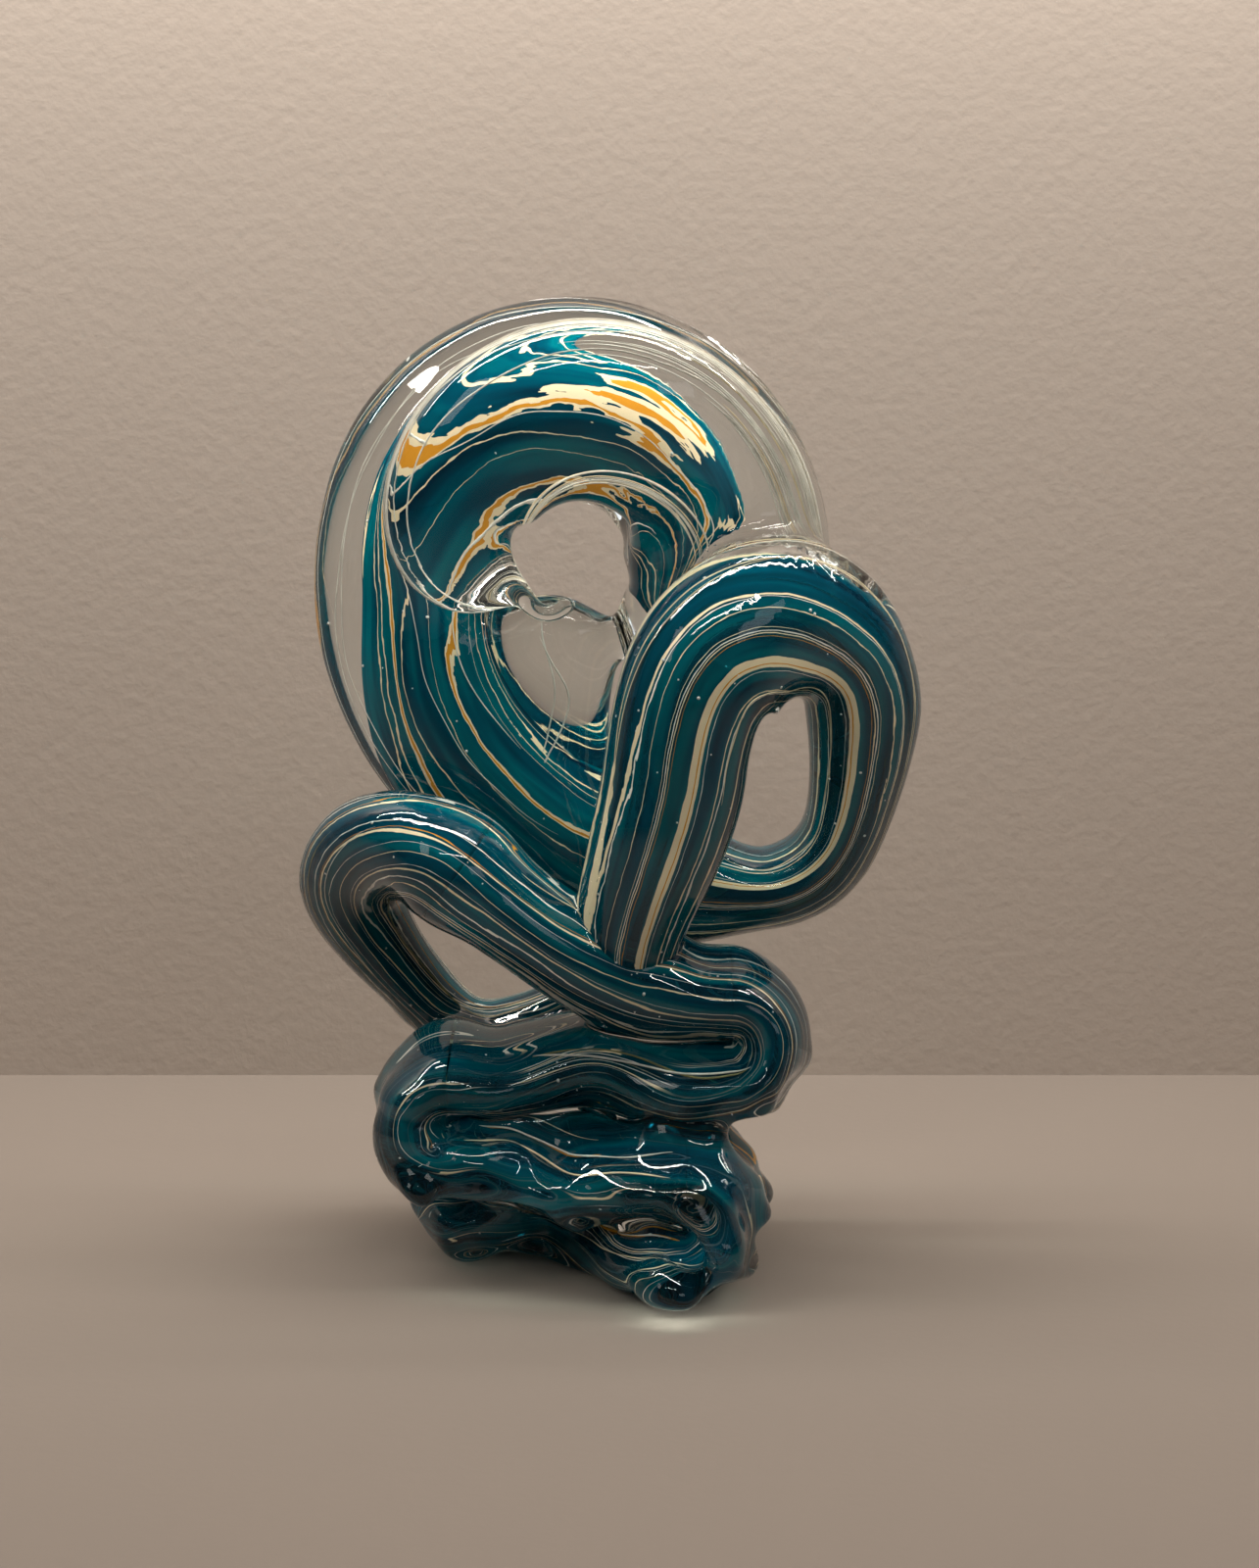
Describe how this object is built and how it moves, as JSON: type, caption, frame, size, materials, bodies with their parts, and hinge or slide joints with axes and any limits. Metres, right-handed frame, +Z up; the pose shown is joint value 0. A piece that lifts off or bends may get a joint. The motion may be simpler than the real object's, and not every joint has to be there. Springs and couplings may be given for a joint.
{
  "type": "glass wave sculpture",
  "caption": "Free-standing ornament of one thick glass strand, clear over streaked teal, folded in layers and curled up into loops and an open crest.",
  "frame": {"origin": "on the table, inside the outline of the ground resting face under the foot fold", "axes": "+X to the viewer's right in the picture, +Y away from the viewer, +Z up from the table to the crest"},
  "size_m": [0.1897, 0.113, 0.2912],
  "materials": {
    "clear_glass": "fire-polished",
    "teal_glass": "inside the clear glass",
    "cream_glass": "inside the clear glass"
  },
  "bodies": {
    "root": {"foot_fold_casing": "clear_glass", "foot_fold_core": "teal_glass", "foot_fold_canes": "cream_glass", "second_fold_casing": "clear_glass", "second_fold_core": "teal_glass", "second_fold_canes": "cream_glass", "third_fold_casing": "clear_glass", "third_fold_core": "teal_glass", "third_fold_canes": "cream_glass", "lower_wave_casing": "clear_glass", "lower_wave_core": "teal_glass", "lower_wave_canes": "cream_glass", "left_curl_casing": "clear_glass", "left_curl_core": "teal_glass", "left_curl_canes": "cream_glass", "right_curl_casing": "clear_glass", "right_curl_core": "teal_glass", "right_curl_canes": "cream_glass", "crest_loop_casing": "clear_glass", "crest_loop_core": "teal_glass", "crest_loop_canes": "cream_glass", "crest_tail_casing": "clear_glass", "crest_tail_canes": "cream_glass", "crest_web_casing": "clear_glass", "crest_web_canes": "cream_glass"}
  },
  "joints": []
}
